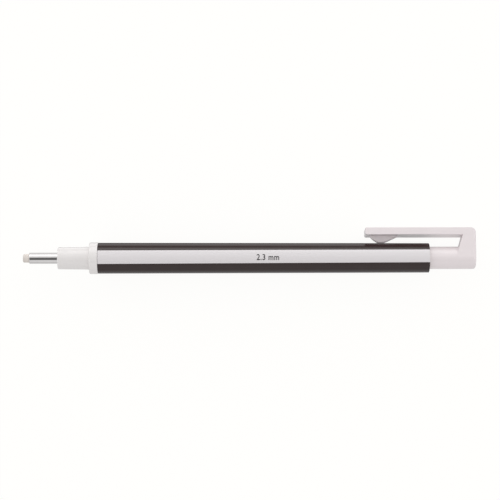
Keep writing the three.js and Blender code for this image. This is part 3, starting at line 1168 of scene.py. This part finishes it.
def wrapped(mesh, start, width, height, centre):
    """Lays a flat mesh round the barrel: from start along it, and centred on an angle from the clip."""
    low = Vector(map(min, *(v.co for v in mesh.vertices)))
    high = Vector(map(max, *(v.co for v in mesh.vertices)))
    size = high - low
    profile = cad_profile("barrel")
    front, back = pen_box("barrel")
    past_front = 20
    facet = 0.12
    front_radius = max(point.y for point in profile)
    back_radius = max(point.y for point in profile if point.x > front.x + past_front)
    shape = bmesh.new()
    shape.from_mesh(mesh)
    bmesh.ops.remove_doubles(shape, verts=shape.verts, dist=0.0001)
    bends = round(height / facet)
    for k in range(1, bends):
        cut = (0, low.y + size.y * k / bends, 0)
        every = shape.verts[:] + shape.edges[:] + shape.faces[:]
        bmesh.ops.bisect_plane(shape, geom=every, dist=0.00001, plane_co=cut, plane_no=(0, 1, 0))
    ink = mm("ink_height")
    for vertex in shape.verts:
        x = start + (vertex.co.x - low.x) * width / size.x
        share = (x - front.x) / (back.x - front.x)
        radius = front_radius + (back_radius - front_radius) * share
        up = (vertex.co.y - (low.y + high.y) / 2) * height / size.y
        bearing = math.radians(centre) - up / radius
        radius += ink if vertex.co.z > (low.z + high.z) / 2 else -ink
        vertex.co = (x, radius * math.cos(bearing), radius * math.sin(bearing))
    bmesh.ops.recalc_face_normals(shape, faces=shape.faces)
    shape.to_mesh(mesh)
    shape.free()
    return mesh


class PrintBarrel(Operator):
    """The eraser's diameter, printed on the barrel"""

    bl_idname = "eraser_pen.print_barrel"
    bl_label = "Print Barrel"

    def execute(self, context):
        ink = print_ink("Black ink", (0.012, 0.01, 0.01))
        words = text_mesh("2.3 mm", weight=0.012)
        mesh = wrapped(words, start=62.0, width=5.9, height=1.6, centre=94.3)
        finish_piece("print_size", mesh, ink, "printed_barrel", "barrel_assembly")
        return {"FINISHED"}


# ------------------------------------------------------------------ stage


def make_floor():
    """A pale floor that glows a little, so that only the faintest shadow shows on it."""
    half = 3.0
    sink = 0.0001
    glow = 0.955
    shadow_catch = 0.07
    mesh = bpy.data.meshes.new("floor")
    corners = [(-half, -half, -sink), (half, -half, -sink), (half, half, -sink), (-half, half, -sink)]
    mesh.from_pydata(corners, [], [(0, 1, 2, 3)])
    floor = bpy.data.objects.new("floor", mesh)
    bpy.context.scene.collection.objects.link(floor)
    material, tree, shader, vector = new_material("Studio floor")
    colour_given = bpy.context.scene.eraser_pen_colours.floor
    values = {"Vector": vector, "Scale": 0.004, "Detail": 2.0}
    cloud = add(tree, "ShaderNodeTexNoise", values).outputs[0]
    pale = mixed(tree, cloud, colour_given, [0.995 * c for c in colour_given])
    tree.links.new(pale, shader.inputs["Emission Color"])
    shader.inputs["Emission Strength"].default_value = glow
    shader.inputs["Base Color"].default_value = (shadow_catch, shadow_catch, shadow_catch, 1)
    shader.inputs["Roughness"].default_value = 1.0
    shader.inputs["Specular IOR Level"].default_value = 0.0
    mesh.materials.append(material)
    floor.visible_glossy = False
    floor.visible_diffuse = False


def by_tilt(tree, tilt, start, end, low=0.0, high=1.0):
    """A level that eases from one value to another between two tilts, given in degrees."""
    return ranged(tree, tilt, math.radians(start), math.radians(end), low, high)


def make_surround(studio, pale):
    """A white surround with a light panel on the clip's side, and a dark opening for the camera."""
    world = bpy.data.worlds.new("Studio")
    bpy.context.scene.world = world
    world.use_nodes = True
    tree = world.node_tree
    tree.nodes.clear()
    direction = tree.nodes.new("ShaderNodeTexCoord").outputs["Generated"]
    split = add(tree, "ShaderNodeSeparateXYZ", {0: direction}).outputs
    tilt = maths(tree, "ARCTAN2", split["Y"], split["Z"])
    share = ranged(tree, tilt, -math.pi, math.pi, ease="LINEAR")
    ramp = tree.nodes.new("ShaderNodeValToRGB")
    tree.links.new(share, ramp.inputs[0])
    walls, panel = studio.walls, studio.softbox
    bands = [
        (-180, 0.8 * walls),
        (-150, 0.8 * walls),
        (-132, 0.85 * walls),
        (-90, 0.8 * walls),
        (-80, walls),
        (14, 0.9 * walls),
        (44, 1.1 * walls),
        (56, panel),
        (84, panel),
        (90, 0.6 * walls),
        (101, 0.6 * walls),
        (110, 1.3 * walls),
        (130, 1.3 * walls),
        (146, 0.3 * walls),
        (168, 0.15 * walls),
        (180, 0.8 * walls),
    ]
    fill_ramp(ramp.color_ramp, [((degrees + 180) / 360, glow / panel) for degrees, glow in bands])
    near_edge = by_tilt(tree, tilt, -39, -34)
    far_edge = by_tilt(tree, tilt, 7, 20, 1.0, 0.0)
    side_edges = ranged(tree, maths(tree, "ABSOLUTE", split["X"]), 0.25, 0.4, 1.0, 0.0)
    opening = maths(tree, "MULTIPLY", maths(tree, "MULTIPLY", near_edge, far_edge), side_edges)
    dark = 0.07
    mirrored = mixed(tree, opening, ramp.outputs["Color"], (dark, dark, dark))
    fill, side = studio.fill_light / panel, studio.side_light / panel
    rising = by_tilt(tree, tilt, 20, 90, fill, fill + side)
    falling = by_tilt(tree, tilt, 130, 160, 0.0, side)
    soft = maths(tree, "SUBTRACT", rising, falling)
    path = tree.nodes.new("ShaderNodeLightPath").outputs
    even = add(tree, "ShaderNodeCombineColor", {0: soft, 1: soft, 2: soft}).outputs[0]
    lit = mixed(tree, path["Is Diffuse Ray"], mirrored, even)
    around = add(tree, "ShaderNodeBackground", {"Color": lit, "Strength": panel}).outputs[0]
    behind = add(tree, "ShaderNodeBackground", {"Color": (*pale, 1), "Strength": 1.0}).outputs[0]
    values = {0: path["Is Camera Ray"], 1: around, 2: behind}
    both = add(tree, "ShaderNodeMixShader", values).outputs[0]
    tree.links.new(both, tree.nodes.new("ShaderNodeOutputWorld").inputs["Surface"])


def fill_ramp(ramp, stops):
    """Gives a colour ramp its stops, as places and grey levels."""
    while len(ramp.elements) < len(stops):
        ramp.elements.new(1.0)
    for element, (place, grey) in zip(ramp.elements, stops):
        element.position = place
        element.color = (grey, grey, grey, 1)


class MakeStage(Operator):
    """The pale floor, the soft studio light and the camera straight above the pen"""

    bl_idname = "eraser_pen.make_stage"
    bl_label = "Make Stage"

    def execute(self, context):
        studio = context.scene.eraser_pen_studio
        make_floor()
        make_surround(studio, context.scene.eraser_pen_colours.floor)
        lens = bpy.data.cameras.new("camera")
        lens.lens = studio.focal_length
        lens.sensor_width = 36.0
        camera = bpy.data.objects.new("camera", lens)
        camera.location = (studio.camera_along, studio.camera_aside, TIP.z + studio.camera_height)
        camera.rotation_euler.z = studio.camera_turn
        context.scene.collection.objects.link(camera)
        context.scene.camera = camera
        context.scene.view_settings.view_transform = "Standard"
        return {"FINISHED"}


# ------------------------------------------------------------------ add-on

OPERATORS = (
    MakeStage,
    MakeBarrel,
    PrintBarrel,
    MakeNose,
    MakeEraser,
    MakeFeed,
    MakeSpring,
    MakeButton,
    MakeClip,
)


class EraserPenPanel(Panel):
    """Lists the pen's pieces in the order that they are made"""

    bl_idname = "VIEW3D_PT_eraser_pen"
    bl_label = "Eraser Pen"
    bl_space_type = "VIEW_3D"
    bl_region_type = "UI"
    bl_category = "Eraser Pen"

    def draw(self, context):
        for operator in OPERATORS:
            self.layout.operator(operator.bl_idname)
        for name, settings in SETTINGS.items():
            box = self.layout.box()
            for setting in settings.__annotations__:
                box.prop(getattr(context.scene, name), setting)


def register():
    for kind in (*SETTINGS.values(), *OPERATORS, EraserPenPanel):
        bpy.utils.register_class(kind)
    for name, settings in SETTINGS.items():
        setattr(bpy.types.Scene, name, PointerProperty(type=settings))


def unregister():
    for name in SETTINGS:
        delattr(bpy.types.Scene, name)
    for kind in (EraserPenPanel, *reversed(OPERATORS), *SETTINGS.values()):
        bpy.utils.unregister_class(kind)


def main():
    """Makes every piece in order, and writes the CAD model's box and the finished one's."""
    register()
    for operator in OPERATORS:
        name = operator.bl_idname.split(".")[1]
        getattr(bpy.ops.eraser_pen, name)()


if __name__ == "__main__":
    main()
